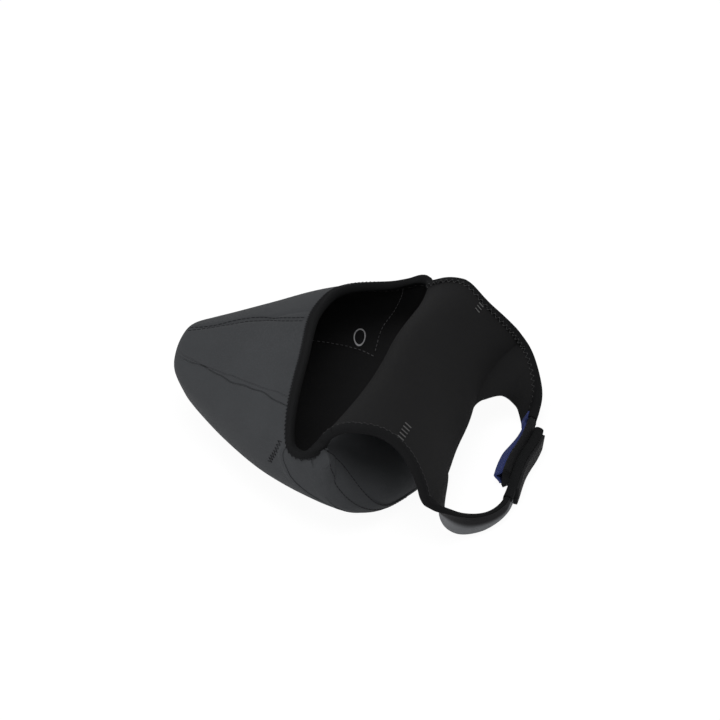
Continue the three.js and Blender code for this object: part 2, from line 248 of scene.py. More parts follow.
def gusset_front(angle):
    share = np.clip((NOTCH_ANGLE - near_side(angle)) / (NOTCH_ANGLE - GUSSET_FOOT), 0, 1)
    chord = mix(NOTCH_DEPTH - SEAM_CLEAR / 2, rim_depth(GUSSET_FOOT) - SEAM_CLEAR, share)
    return chord - GUSSET_WIDTH * np.sin(math.pi * share)


def rim_along(angle):
    return station_at(rim_depth(angle))


def gusset_along(angle):
    return station_at(gusset_front(angle))


def gore_edge(angle):
    side = near_side(angle)
    beside = (side <= NOTCH_ANGLE) & (side >= GUSSET_FOOT)
    return np.where(beside, gusset_along(angle), rim_along(angle))


# The back sheet: across runs -1..1 from the near edge to the far one; rise 0..1 is the back wall,
# 1..2 the neck up to the crest, 2..3 the flap down to its hem; its base surface is the lining side

FOLD_RISE, CREST_RISE, HEM_RISE = 1, 2, 3


def back_seam(across):
    angle = mix(SEAM_TOP, -math.pi - SEAM_TOP, (across + 1) / 2)
    along = station_at(rim_depth(angle) + END_CLEAR * across ** 6)
    return pouch(angle, along) + SHEET * normals(pouch, angle, along)


def back_wall(across, rise):
    foot = back_seam(across)
    top = points(mix(FOLD_DEPTH, EDGE_FOLD_DEPTH, across ** 2), FOLD_HALF_WIDTH * across, NOTCH_HEIGHT)
    reach = np.linalg.norm(foot - top, axis=-1) / 3
    belly = foot + points(0.5 * reach, 0, reach)
    waist = top - points(0, 0, reach)
    return bezier(foot, belly, waist, top, rise)


def flap(across, rise):
    square = across ** 2
    climb = np.clip(rise - FOLD_RISE, -1, 1)
    turn = climb * math.pi / 2
    start = mix(FOLD_DEPTH, EDGE_FOLD_DEPTH, square)
    neck = points(mix(start, CREST_DEPTH, 1 - np.cos(turn)),
                  mix(FOLD_HALF_WIDTH, CREST_HALF_WIDTH, climb) * across,
                  mix(NOTCH_HEIGHT, CREST_HEIGHT, np.sin(turn)))
    fall = np.maximum(rise - CREST_RISE, 0)

    def arc(angle, depth, drop):
        return (depth * np.sin(angle * fall) / math.sin(angle),
                drop * (1 - np.cos(angle * fall)) / (1 - math.cos(angle)))

    mid_depth, mid_drop = arc(FLAP_TURN, HOLE_DEPTH - CREST_DEPTH, CREST_HEIGHT - HOLE_HEIGHT)
    edge_depth, edge_drop = arc(EDGE_TURN, ARM_ROOT_DEPTH - CREST_DEPTH, CREST_HEIGHT - ARM_ROOT_HEIGHT)
    half_width = mix(CREST_HALF_WIDTH, ARM_ROOT_HALF_WIDTH, fall ** 2) - FLAP_WAIST * np.sin(math.pi * fall)
    fallen = points(CREST_DEPTH + mix(mid_depth - FLAP_SKEW * across * fall ** 2, edge_depth, square),
                    half_width * across,
                    CREST_HEIGHT - mix(mid_drop, edge_drop, square))
    return np.where((rise < CREST_RISE)[..., None], neck, fallen)


# The ring: two bands between the edge of the hole and the outer edge of the flap

ROOT_RISES = (2.8, HEM_RISE)
HEM_FADE = 0.25
TAB_TOP_LEAN = 2 * MM
TAB_FOOT_LEAN = 5 * MM


def outer_point(rear, out, height):
    return mix(ARM_ROOT_DEPTH, RING_DEPTH, rear), out * ARM_ROOT_HALF_WIDTH, height


def inner_point(rear, out, height=FLOOR_CLEAR):
    return mix(HOLE_DEPTH, RING_DEPTH, rear), out * ARM_ROOT_HALF_WIDTH, height


def arm_surface(side, hole_share, outer, inner):
    """A band that leaves the flap along its hem; width 0 is the edge of the hole and 1 the outer edge."""
    edges = []
    for share, corners in ((hole_share, inner), (1, outer)):
        roots = [flap(np.array(side * share), np.array(rise)) for rise in ROOT_RISES]
        line = smooth_line(roots + corners)
        start = 1 / (len(corners) + 1)
        edges.append(lambda along, line=line, start=start: line(mix(start, 1, along)))
    inner_edge, outer_edge = edges

    def surface(along, width):
        band = mix(inner_edge(along), outer_edge(along), width[..., None])
        root = mix(inner_edge(0 * along), outer_edge(0 * along), width[..., None])
        hem = flap(side * mix(hole_share, 1, width), HEM_RISE + 0 * width)
        return band + (hem - root) * (1 - smoothstep(along, 0, HEM_FADE))[..., None]

    return surface


def outer_fall(share):
    return mix(ARM_ROOT_HEIGHT, RING_HEIGHT, share)


def inner_fall(share):
    return mix(HOLE_HEIGHT, FLOOR_CLEAR, share)


ELBOW_HEIGHT = RING_HEIGHT + 2 * MM
FAR_END_OUTER = outer_point(0.69, 0.505, RING_HEIGHT)
FAR_END_INNER = inner_point(0.667, 0.505)
far_arm = arm_surface(1, FAR_HOLE_SHARE, [
    outer_point(0.31, 0.925, outer_fall(0.3)), outer_point(0.6, 0.78, outer_fall(0.7)),
    outer_point(0.67, 0.62, ELBOW_HEIGHT), FAR_END_OUTER,
], [
    inner_point(0.295, 0.6, inner_fall(0.28)), inner_point(0.45, 0.63, inner_fall(0.58)),
    inner_point(0.577, 0.575, inner_fall(0.83)), FAR_END_INNER,
])
near_arm = arm_surface(-1, NEAR_HOLE_SHARE, [
    outer_point(0.33, -0.915, outer_fall(0.3)), outer_point(0.6, -0.77, outer_fall(0.7)),
    outer_point(0.88, -0.595, ELBOW_HEIGHT), outer_point(0.985, -0.32, RING_HEIGHT),
    outer_point(0.96, 0.06, RING_HEIGHT), outer_point(0.935, 0.425, RING_HEIGHT),
], [
    inner_point(0.32, -0.715, inner_fall(0.63)), inner_point(0.53, -0.715, inner_fall(0.93)),
    inner_point(0.8, -0.63), inner_point(0.955, -0.36),
    inner_point(0.935, 0.06), inner_point(0.895, 0.425),
])


def tab(along, width):
    """The closure tab carries on from the end of the far arm, along the near one."""
    top = np.array(FAR_END_OUTER) + along[..., None] * np.array([TAB_TOP_LEAN, -TAB_LENGTH, 0])
    foot = np.array(FAR_END_INNER) + along[..., None] * np.array([TAB_FOOT_LEAN, -TAB_LENGTH, 0])
    return mix(foot, top, width[..., None])


# Soft settling of the whole sleeve: the far end of the mouth rides up and to the rear, the top of the
# rim and the near notch lean to the nose, the tip and the heel draw in, the near rear corner bulges,
# the back wall sinks in under the flap, the closed ring and the hem over its hole lie further to the
# rear, the elbow of the near arm sags, and nothing goes below the table

def settle(place):
    """Each zone is a weight from 0 to 1, and its moves are added up at the end, all in millimetres."""
    x, y, z = np.moveaxis(place / MM, -1, 0)
    lift = bump(x, 10, 11) * smoothstep(y, 58, 86)
    lift = lift * smoothstep(z, 30, 58) * (1 - smoothstep(z, 64, 82))
    far_start = mix(45, 12, smoothstep(x, 0, 35))
    far_end = smoothstep(y, far_start, 90) * smoothstep(z, 20, 60)
    far_end = far_end * smoothstep(x, -60, 0) * (1 - smoothstep(x, 40, 76))
    rim = bump(y, 15, 25) * bump(x, -25, 25) * smoothstep(z, 55, 75)
    notch = bump(x, 6, 14) * bump(y, -88, 16) * bump(z, 58, 14)
    chin = bump(x, -92, 26) * smoothstep(y, 0, -30) * (1 - smoothstep(z, 25, 50))
    corner = bump(x, 68, 20) * bump(y, -78, 22) * bump(z, 14, 20)
    hollow = bump(x, 40, 18) * bump(y, -70, 16) * bump(z, 46, 15)
    heel = bump(y, 5, 32) * smoothstep(x, 50, 76) * (1 - smoothstep(z, 12, 32))
    brow = bump(x, -102, 28) * smoothstep(z, 36, 66)
    elbow = bump(x, 112, 18) * bump(y, -42, 27) * smoothstep(z, 2, 12)
    ring = smoothstep(y, -66, -30) * (1 - smoothstep(y, 16, 56)) * smoothstep(x, 95, 104)
    hem = bump(x, 80, 13) * bump(y, 12, 28) * bump(z, 28, 15)
    rearward = 11 * far_end - 5 * rim - 4 * notch + 4 * chin + 2 * brow + 4 * corner - 4 * hollow - 5 * heel
    rearward = rearward + 4.8 * ring + 4 * hem
    farward = -2 * corner + 5 * hollow
    upward = 9 * lift + 1.5 * chin - 6 * brow - 4 * elbow
    return MM * points(x + rearward, y + farward, np.maximum(z + upward, 0))


# Meshes; each sheet's UV map is scaled to the mean width and length of its cloth


def grid_object(name, columns, rows):
    bpy.ops.mesh.primitive_grid_add(x_subdivisions=columns, y_subdivisions=rows, size=2)
    obj = bpy.context.object
    obj.name = name
    obj.data.name = name
    flat = np.zeros(len(obj.data.vertices) * 3)
    obj.data.vertices.foreach_get("co", flat)
    shares = (flat.reshape(-1, 3)[:, :2] + 1) / 2
    return obj, shares[:, 0], shares[:, 1]


def set_places(obj, place):
    obj.data.vertices.foreach_set("co", np.asarray(place, np.float32).ravel())
    obj.data.update()


def scale_uv(obj, place, columns, rows):
    """Turns the unit UV map of a grid into lengths of cloth, and gives its mean width and length."""
    lattice = place.reshape(rows + 1, columns + 1, 3)
    wide = np.linalg.norm(np.diff(lattice, axis=1), axis=2).sum(axis=1).mean()
    tall = np.linalg.norm(np.diff(lattice, axis=0), axis=2).sum(axis=0).mean()
    layer = obj.data.uv_layers[0].data
    uv = np.zeros(len(layer) * 2)
    layer.foreach_get("uv", uv)
    layer.foreach_set("uv", (uv.reshape(-1, 2) * (wide, tall)).ravel())
    return wide, tall


def select_alone(obj):
    bpy.ops.object.select_all(action="DESELECT")
    obj.select_set(True)
    bpy.context.view_layer.objects.active = obj


def apply_modifier(obj, kind, **values):
    modifier = obj.modifiers.new(kind.title(), kind)
    for key, value in values.items():
        setattr(modifier, key, value)
    select_alone(obj)
    bpy.ops.object.modifier_apply(modifier=modifier.name)


def smooth_shading(obj, angle=40):
    select_alone(obj)
    bpy.ops.object.shade_smooth_by_angle(angle=math.radians(angle))


def sheet_object(name, surface, u_limits, v_limits, side, height, thickness, steps,
                 relief=None, normal=None, rounding=0.0, crowd=None):
    """A closed sheet whose shown face lies height away from a surface, on the given side of its normal.

    v_limits holds two functions of u. relief(u, v) raises the shown face; rounding softens its edges;
    crowd turns even shares of u into shares that gather the columns at a seam.
    """
    columns, rows = steps
    obj, u_share, v_share = grid_object(name, columns, rows)
    if side < 0:
        u_share = 1 - u_share
    u = mix(*u_limits, crowd(u_share) if crowd else u_share)
    v = mix(v_limits[0](u), v_limits[1](u), v_share)
    away = side * (normal(u, v) if normal else normals(surface, u, v))
    raised = height + (relief(u, v) if relief else 0 * u)
    place = settle(surface(u, v) + away * raised[:, None])
    set_places(obj, place)
    wide, tall = scale_uv(obj, place, columns, rows)
    apply_modifier(obj, "WELD", merge_threshold=WELD_REACH)
    apply_modifier(obj, "SOLIDIFY", thickness=thickness, offset=-1)
    if rounding:
        apply_modifier(obj, "BEVEL", width=rounding, segments=2, limit_method="ANGLE",
                       angle_limit=SHARP_EDGE)
    smooth_shading(obj)
    return obj


def constant(value):
    return lambda u: value + 0 * u


def between(low, high):
    return constant(low), constant(high)


# Edges that carry a binding: each gives the middle of the sheet and the way to its lining side

def pouch_edge(angle):
    along = rim_along(angle)
    inward = normals(pouch, angle, along)
    return pouch(angle, along) + inward * SHEET / 2, inward


def flap_edge(side, rise):
    across = side + 0 * rise
    under = normals(flap, across, rise)
    return flap(across, rise) + under * SHEET / 2, -under


def arm_edge(surface, normal, grey_side, along):
    width = 1 + 0 * along
    grey = grey_side * normal(along, width)
    return surface(along, width) + grey * SHEET / 2, -grey


def joined(*edges):
    """One edge through several runs of points, as functions of a share from 0 to 1."""
    middle = smooth_line(np.vstack([edge[0] for edge in edges]))
    lining = smooth_line(np.vstack([edge[1] for edge in edges]))
    return middle, lining


def edge_frame(edge, share, inner_side):
    """Middle points, directions to the lining and directions into the cloth along an edge."""
    middle, lining = edge
    step = 2 * NORMAL_STEP
    tangent = unit(middle(share + step) - middle(share - step))
    up = lining(share)
    up = unit(up - tangent * (up * tangent).sum(axis=-1, keepdims=True))
    return middle(share), up, inner_side * np.cross(tangent, up)


def binding_object(name, edge, inner_side, columns, shares=(0, 1), thin=(2, 3)):
    """A folded tape round an edge: two flat legs and a round turn; thin holds where it thins to a bead."""
    full = SHEET / 2 + BINDING_PLY + TRIM_LIFT / 2
    bead = 0.5
    flatness = 0.6

    def surface(share, turn):
        middle, up, inward = edge_frame(edge, share, inner_side)
        half = full * (1 - bead * smoothstep(share, *thin))
        leg = BINDING_DEPTH
        arc = math.pi * half
        run = turn * (2 * leg + arc)
        bend = np.clip((run - leg) / half, 0, math.pi)
        depth = np.where(run < leg, leg - run, np.where(run > leg + arc, run - leg - arc, 0))
        depth = depth - half * np.sin(bend) * flatness
        return middle + inward * depth[..., None] + up * (half * np.cos(bend))[..., None]

    return sheet_object(name, surface, shares, between(0, 1), inner_side, 0, BINDING_PLY,
                        (columns, 22), rounding=0.25 * MM)


# Stitches: short six-sided threads, merged into one mesh for each row

THREAD_SIDES = 6
ZIGZAG_WIDTH = 2.2 * MM
ZIGZAG_LIFT = 0.25 * MM
ZIGZAG_RADIUS = 0.225 * MM


def thread_object(name, starts, ends, ups, radius):
    """Threads from starts to ends in one mesh; ups point away from the cloth."""
    bpy.ops.mesh.primitive_cylinder_add(vertices=THREAD_SIDES, radius=1, depth=1)
    stitch = bpy.context.object
    sides = np.array([vertex.co for vertex in stitch.data.vertices])
    faces = [list(polygon.vertices) for polygon in stitch.data.polygons]
    bpy.data.objects.remove(stitch)
    run = ends - starts
    way = unit(run)
    up = unit(ups - way * (ups * way).sum(axis=1, keepdims=True))
    across = np.cross(way, up)
    middle = (starts + ends) / 2
    section = across[:, None] * sides[None, :, 0:1] + up[:, None] * sides[None, :, 1:2]
    corners = middle[:, None] + run[:, None] * sides[None, :, 2:3] + radius * section
    mesh = bpy.data.meshes.new(name)
    count = len(sides)
    all_faces = [[corner + count * i for corner in face] for i in range(len(starts)) for face in faces]
    mesh.from_pydata(corners.reshape(-1, 3).tolist(), [], all_faces)
    obj = bpy.data.objects.new(name, mesh)
    bpy.context.scene.collection.objects.link(obj)
    smooth_shading(obj, 360 / THREAD_SIDES)
    return obj


def even_shares(line, spacing):
    """Shares along a line of points at an even spacing in metres."""
    shares = np.linspace(0, 1, 600)
    lengths = np.concatenate([[0], np.cumsum(np.linalg.norm(np.diff(line(shares), axis=0), axis=1))])
    count = max(int(lengths[-1] / spacing), 2)
    return np.interp(np.linspace(0, lengths[-1], count + 1), lengths, shares)


def swings(count):
    """Half a step to one side and half a step to the other, in turn."""
    return np.where(np.arange(count) % 2 == 0, -0.5, 0.5)


def zigzag_on_binding(name, edge, inner_side, face, spacing, end):
    """Zigzag thread over the border of a binding; face is 1 on the lining side and -1 outside."""
    shares = end * even_shares(lambda share: settle(edge[0](end * share)), spacing)
    middle, up, inward = edge_frame(edge, shares, inner_side)
    swing = swings(len(shares))
    height = SHEET / 2 + np.where(swing < 0, BINDING_PLY, 0) + ZIGZAG_LIFT
    depth = BINDING_DEPTH + swing * ZIGZAG_WIDTH
    place = settle(middle + inward * depth[:, None] + up * face * height[:, None])
    return thread_object(name, place[:-1], place[1:], face * up[:-1], ZIGZAG_RADIUS)


def row_on_surface(name, surface, corners, side, height, dash, gap, swing=0.0, radius=0.255 * MM,
                   relief=None):
    """A row of stitches through (u, v) corners on a surface: dashes, or a zigzag where swing is set."""
    track = smooth_line([(u, v, 0) for u, v in corners])

    def place_at(share):
        place = track(share)
        u, v = place[..., 0], place[..., 1]
        away = side * normals(surface, u, v)
        raised = height + (relief(u, v) if relief else 0 * u)
        return settle(surface(u, v) + away * raised[..., None]), away

    spacing = dash + gap
    shares = even_shares(lambda s: place_at(s)[0], spacing)
    starts, ups = place_at(shares)
    if swing:
        ways = unit(np.gradient(starts, axis=0))
        starts = starts + np.cross(ways, ups) * (swings(len(shares)) * swing)[:, None]
        return thread_object(name, starts[:-1], starts[1:], ups[:-1], radius)
    ends = mix(starts[:-1], starts[1:], dash / spacing)
    return thread_object(name, starts[:-1], ends, ups[:-1], radius)


# Materials

def set_inputs(node, values):
    for entry, value in values.items():
        node.inputs[entry].default_value = value


def add_node(tree, kind, values=None, operation=None):
    """A new shader node with the given values on its inputs."""
    node = tree.nodes.new(f"ShaderNode{kind}")
    if operation:
        node.operation = operation
    set_inputs(node, values or {})
    return node


def wire(tree, *wires):
    """Links, each from a node's output to another node's input."""
    for source, output, target, entry in wires:
        tree.links.new(source.outputs[output], target.inputs[entry])


def knit_group():
    """Fine jersey ribs along the cloth with soft patches of wear; takes its scale in ribs per metre."""
    group = bpy.data.node_groups.new("jersey knit", "ShaderNodeTree")
    takes = (("Ribs", "Float"), ("Colour", "Color"), ("Patch", "Float"))
    gives = (("Colour", "Color"), ("Height", "Float"), ("Roughness", "Float"))
    for way, sockets in (("INPUT", takes), ("OUTPUT", gives)):
        for name, kind in sockets:
            group.interface.new_socket(name=name, in_out=way, socket_type=f"NodeSocket{kind}")
    inputs = group.nodes.new("NodeGroupInput")
    outputs = group.nodes.new("NodeGroupOutput")
    coordinates = add_node(group, "TexCoord")
    scaled = add_node(group, "VectorMath", operation="SCALE")
    ribs = add_node(group, "TexWave", {"Scale": 1.0, "Distortion": 1.2})
    loops = add_node(group, "TexVoronoi", {"Scale": 2.0})
    height = add_node(group, "Math", operation="ADD")
    patches = add_node(group, "TexNoise", {"Scale": 38.0, "Detail": 5.0})
    shade = add_node(group, "MapRange", {"From Min": 0.3, "From Max": 0.7})
    grain = add_node(group, "MapRange", {"To Min": 0.82, "To Max": 1.12})
    rough = add_node(group, "MapRange", {"To Min": 0.72, "To Max": 0.92})
    lift = add_node(group, "Math", operation="MULTIPLY_ADD")
    tint = add_node(group, "VectorMath", operation="SCALE")
    wire(group,
         (coordinates, "UV", scaled, 0), (inputs, "Ribs", scaled, "Scale"),
         (scaled, 0, ribs, "Vector"), (scaled, 0, loops, "Vector"),
         (ribs, "Fac", height, 0), (loops, "Distance", height, 1),
         (coordinates, "Object", patches, "Vector"),
         (patches, "Fac", shade, "Value"), (patches, "Fac", rough, "Value"),
         (loops, "Distance", grain, "Value"),
         (shade, "Result", lift, 0), (inputs, "Patch", lift, 1), (grain, "Result", lift, 2),
         (inputs, "Colour", tint, 0), (lift, 0, tint, "Scale"),
         (tint, 0, outputs, "Colour"), (height, 0, outputs, "Height"),
         (rough, "Result", outputs, "Roughness"))
    return group


KNIT = knit_group()


def cloth(name, colour, ribs, patch, shine, bump_strength=0.25):
    """Knitted cloth: ribs per metre, strength of the worn patches, and shine of the yarn."""
    material = bpy.data.materials.new(name)
    material.use_nodes = True
    tree = material.node_tree
    shader = tree.nodes["Principled BSDF"]
    knit = add_node(tree, "Group")
    knit.name = "knit"
    knit.node_tree = KNIT
    set_inputs(knit, {"Ribs": ribs, "Colour": (*colour, 1), "Patch": patch})
    raised = add_node(tree, "Bump", {"Strength": bump_strength, "Distance": 0.2 * MM})
    wire(tree,
         (knit, "Height", raised, "Height"), (raised, "Normal", shader, "Normal"),
         (knit, "Colour", shader, "Base Color"), (knit, "Roughness", shader, "Roughness"))
    set_inputs(shader, {"Specular IOR Level": shine, "Sheen Weight": 0.1 * shine, "Sheen Roughness": 0.45})
    return material


NEOPRENE = {"colour": (0.041, 0.043, 0.046), "ribs": 1400, "patch": 0.14, "shine": 0.12}
THREAD = {"ribs": 4000, "patch": 0.2, "shine": 0.1}
GREY = cloth("grey neoprene", **NEOPRENE)
BLACK = cloth("black lining", (0.0120, 0.0120, 0.0124), 1200, 0.2, 0.05)
TAPE = cloth("binding tape", (0.0095, 0.0097, 0.0102), 1800, 0.15, 0.03)
WEBBING = cloth("ribbed tab", (0.0110, 0.0110, 0.0118), 700, 0.2, 0.06, 0.5)
HOOKS = cloth("blue hook tape", (0.030, 0.042, 0.150), 1100, 0.3, 0.2, 0.6)
LOOPS = cloth("loop patch", (0.012, 0.012, 0.013), 900, 0.3, 0.1, 0.6)
DARK_THREAD = cloth("dark thread", (0.008, 0.008, 0.009), **THREAD)
SOFT_THREAD = cloth("soft grey thread", (0.045, 0.045, 0.046), **THREAD)
GREY_THREAD = cloth("grey thread", (0.10, 0.10, 0.103), **THREAD)
PALE_THREAD = cloth("pale thread", (0.11, 0.11, 0.11), **THREAD)
PRINT = cloth("pale print", (0.40, 0.40, 0.41), 1200, 0.3, 0.0)

# Painted light on the near arm's outside: pale below as a painted reflection of the white floor, darker
# towards the top, partly the dark lining over its edge and partly painted shade
PAINTED_LIGHT_START = 12 * MM
PAINTED_LIGHT_END = 18 * MM
PAINTED_FLOOR_REFLECTION = (0.140, 0.144, 0.152, 1)
LINING_EDGE_AND_PAINTED_SHADE = (0.012, 0.012, 0.013, 1)


def arm_grey_with_painted_light():
    """Grey cloth with painted light: pale below as a painted reflection of the white floor, and darker
    towards the top, partly the dark lining over its edge and partly painted shade.
    """
    material = cloth("grey neoprene with painted floor reflection and shade", **NEOPRENE)
    tree = material.node_tree
    coordinates = add_node(tree, "TexCoord")
    split = add_node(tree, "SeparateXYZ")
    height = add_node(tree, "MapRange", {"From Min": PAINTED_LIGHT_START, "From Max": PAINTED_LIGHT_END})
    ramp = add_node(tree, "ValToRGB")
    ramp.color_ramp.interpolation = "EASE"
    ramp.color_ramp.elements[0].color = PAINTED_FLOOR_REFLECTION
    ramp.color_ramp.elements[1].color = LINING_EDGE_AND_PAINTED_SHADE
    wire(tree,
         (coordinates, "UV", split, 0), (split, "Y", height, "Value"), (height, "Result", ramp, "Fac"),
         (ramp, "Color", tree.nodes["knit"], "Colour"))
    return material


ARM_GREY_WITH_PAINTED_LIGHT = arm_grey_with_painted_light()


# What a piece is made of; its body is a name, or a function that bakes its place into its mesh

def dress(obj, material, body, replaces=()):
    obj.data.materials.clear()
    obj.data.materials.append(material)
    if callable(body):
        body(obj)
    else:
        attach(obj, body)
    if replaces:
        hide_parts(*replaces)


def foam_ply(obj, body, replaces=(), material=GREY):
    dress(obj, material, body, replaces)


def lining_ply(obj, body, replaces):
    dress(obj, BLACK, body, replaces)


def folded_tape(obj, body, replaces=()):
    dress(obj, TAPE, body, replaces)


# Reliefs of the soft faces

WAVE_HEIGHT = 0.5 * MM
FLAP_WAVE_HEIGHT = 0.4 * MM
CREASE_SINK = 1.0 * MM
WELT_HEIGHT = 1.0 * MM


def arc_rate(angle, along):
    """Metres of cloth for each radian round the pouch."""
    step = 0.02
    run = np.linalg.norm(pouch(angle + step, along) - pouch(angle - step, along), axis=-1)
    return np.maximum(run / (2 * step), 1 * MM)


def top_seam(along):
    """The angle of the double-stitched seam on the crown of the nose, which wanders a little."""
    depth = STATIONS(along)[..., 0]
    return CROWN_SEAM + CROWN_SEAM_SWAY * bump(depth, -70 * MM, 22 * MM)


def soft_waves(angle, along):
    depth = STATIONS(along)[..., 0]
    fade = smoothstep(depth, -NOSE_LENGTH, -0.85 * NOSE_LENGTH)
    fade = fade * (1 - smoothstep(depth - rim_depth(angle), -22 * MM, -7 * MM))
    slant = 3 * angle + depth / (17 * MM)
    cross_slant = depth / (23 * MM) - 2 * angle
    return WAVE_HEIGHT * fade * np.sin(slant) * np.sin(cross_slant)


def seam_pinch(angle, along, seam, sink=0.7 * MM, width=2.2 * MM):
    distance = (angle - seam) * arc_rate(seam + 0 * along, along)
    fade = smoothstep(STATIONS(along)[..., 0], -0.97 * NOSE_LENGTH, -0.86 * NOSE_LENGTH)
    return -sink * fade * bump(distance, 0, width)


def crease(angle, along):
    """Two thin folds that wander beside the near nose seam, with fine slanted wrinkles between them."""
    depth = STATIONS(along)[..., 0]
    distance = (angle - NEAR_SEAM) * arc_rate(NEAR_SEAM + 0 * along, along)
    reach = smoothstep(depth, -NOSE_LENGTH, -0.85 * NOSE_LENGTH)
    reach = reach * (1 - smoothstep(depth - rim_depth(angle), -6 * MM, -3 * MM))
    towards_mouth = smoothstep(depth, -0.6 * NOSE_LENGTH, -0.2 * NOSE_LENGTH)
    wander = 1.0 * MM * np.sin(depth / (7.5 * MM)) + 0.4 * MM * np.sin(depth / (2.7 * MM) + 1)
    apart = 1.1 * MM + 1.6 * MM * towards_mouth
    folds = bump(distance, wander - apart, 0.5 * MM) + 0.6 * bump(distance, apart - 0.6 * wander, 0.45 * MM)
    phase = depth / (1.9 * MM) + 1.7 * np.sin(depth / (11 * MM)) + distance / (2 * MM)
    wrinkles = bump(distance, 0, 4.5 * MM) * np.sin(phase) * (0.5 + 0.5 * np.sin(depth / (13 * MM)))
    pucker = mix(0.16 * MM, 0.5 * MM, towards_mouth)
    return reach * (-CREASE_SINK * folds + pucker * wrinkles)


def welt(angle, along):
    """A soft ridge in front of the gusset seam."""
    depth = STATIONS(along)[..., 0]
    beside = smoothstep(near_side(angle), GUSSET_FOOT - 0.1, GUSSET_FOOT + 0.2)
    beside = beside * (1 - smoothstep(near_side(angle), NOTCH_ANGLE - 0.1, NOTCH_ANGLE))
    return WELT_HEIGHT * beside * bump(depth - gusset_front(angle), -2.2 * MM, 2.2 * MM)


def gore_relief(angle, along):
    total = soft_waves(angle, along) + crease(angle, along) + welt(angle, along)
    total = total + seam_pinch(angle, along, top_seam(along), 0.9 * MM, 2.4 * MM)
    return total + seam_pinch(angle, along, FAR_SEAM)


def lining_relief(angle, along):
    """The lining's waves, seen from inside."""
    return -soft_waves(angle, along)


def flap_relief(across, rise):
    return FLAP_WAVE_HEIGHT * np.sin(5 * across + 2 * rise) * np.sin(3 * rise)


# Pouch pieces

TIP = constant(0.0)
OUTSIDE, INSIDE = -1, 1


def crowd_start(share):
    return share ** 1.6


def crowd_end(share):
    return 1 - (1 - share) ** 1.8


GORES = (("top", (NEAR_SEAM, FAR_SEAM), 110, crowd_start),
         ("near", (BOTTOM_SEAM - 2 * math.pi, NEAR_SEAM), 150, crowd_end),
         ("far", (FAR_SEAM, BOTTOM_SEAM), 120, None))
for gore, limits, columns, crowd in GORES:
    piece = sheet_object(f"{gore}_gore", pouch, limits, (TIP, gore_edge), OUTSIDE, 0, FACE_PLY,
                         (columns, 180), relief=gore_relief, normal=pouch_normal, crowd=crowd)
    foam_ply(piece, "pouch", [f"nose_{gore}_gore"])

GUSSETS = (("near", (GUSSET_FOOT, NOTCH_ANGLE)), ("far", (math.pi - NOTCH_ANGLE, math.pi - GUSSET_FOOT)))
for side_name, limits in GUSSETS:
    piece = sheet_object(f"{side_name}_gusset_panel", pouch, limits, (gusset_along, rim_along), OUTSIDE, 0,
                         FACE_PLY, (40, 30), relief=soft_waves, rounding=0.8 * MM)
    foam_ply(piece, "pouch", [f"{side_name}_gusset"])

lining = sheet_object("inner_lining", pouch, (BOTTOM_SEAM - 2 * math.pi, BOTTOM_SEAM), (TIP, rim_along),
                      INSIDE, SHEET, LINING_PLY, (240, 110), relief=lining_relief, normal=pouch_normal)
lining_ply(lining, "pouch", ["pouch_lining"])

# Back wall
wall_limits = between(0, 1)
wall_face = sheet_object("back_wall_face", back_wall, (-1, 1), wall_limits, 1, SHEET, FACE_PLY, (120, 50),
                         rounding=0.4 * MM)
foam_ply(wall_face, "pouch", ["back_wall_panel"])
wall_inside = sheet_object("back_wall_inside", back_wall, (-1, 1), wall_limits, -1, 0, LINING_PLY,
                           (120, 50))
lining_ply(wall_inside, "pouch", ["back_wall_lining"])

# The pouch laps over the back seam and is sewn down on the back wall, highest at its two ends

LAP_END = 1.055
LAP_TURN = 0.5
LAP_START = 8 * MM
LAP_SINK = 0.3 * MM
LAP_SWELL = 1.4 * MM
LAP_GAP = 0.5 * MM
LAP_MIDDLE_TOP = 0.03
LAP_END_RISE = 0.61
LAP_CORNER_RISE = 0.33
WALL_END = 0.985


def back_lap(across, share):
    """The first half turns from the pouch onto the back wall, the second lies on that wall."""
    step = NORMAL_STEP
    angle = mix(SEAM_TOP, -math.pi - SEAM_TOP, (across + 1) / 2)
    along = station_at(rim_depth(angle) - LAP_START)
    inward = normals(pouch, angle, along)
    start = pouch(angle, along) + LAP_SINK * inward
    leave = unit(pouch(angle, along + step) - pouch(angle, along - step))
    wall_across = np.clip(across, -WALL_END, WALL_END)
    corner = smoothstep(np.abs(across), 0.97, LAP_END)
    top = LAP_MIDDLE_TOP + LAP_END_RISE * smoothstep(np.abs(across), 0.33, 1) + LAP_CORNER_RISE * corner

    def on_wall(rise):
        return back_wall(wall_across, rise) + (SHEET + LAP_GAP) * normals(back_wall, wall_across, rise)

    low = mix(0.35, 0.92, corner) * top
    end = on_wall(low)
    arrive = unit(on_wall(low + step) - on_wall(low - step))
    reach = 0.4 * np.linalg.norm(end - start, axis=-1, keepdims=True)
    turned = bezier(start, start + reach * leave - LAP_SWELL * inward, end - reach * arrive, end,
                    np.minimum(share / LAP_TURN, 1))
    flat = on_wall(mix(low, top, np.maximum(share - LAP_TURN, 0) / (1 - LAP_TURN)))
    return np.where((share < LAP_TURN)[..., None], turned, flat)


lap = sheet_object("back_seam_lap", back_lap, (-LAP_END, LAP_END), wall_limits, 1, 0, LAP_PLY, (160, 24))
foam_ply(lap, "pouch")

# Neck and flap: one sheet that bends at the crest


def bend_at_crest(obj):
    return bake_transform(obj)


flap_limits = between(FOLD_RISE, HEM_RISE)
flap_face = sheet_object("flap_face", flap, (-1, 1), flap_limits, 1, SHEET, FACE_PLY, (120, 130))
foam_ply(flap_face, bend_at_crest, ["neck_panel", "flap_panel"])
flap_inside = sheet_object("flap_inside", flap, (-1, 1), flap_limits, -1, 0, LINING_PLY, (120, 130),
                           relief=flap_relief)
lining_ply(flap_inside, bend_at_crest, ["neck_lining", "flap_lining"])

# Arms of the ring

FAR_CORNER_LENGTH = 0.17
FAR_CORNER_WIDTH = 0.26
ARM_SWELL = 2.4 * MM


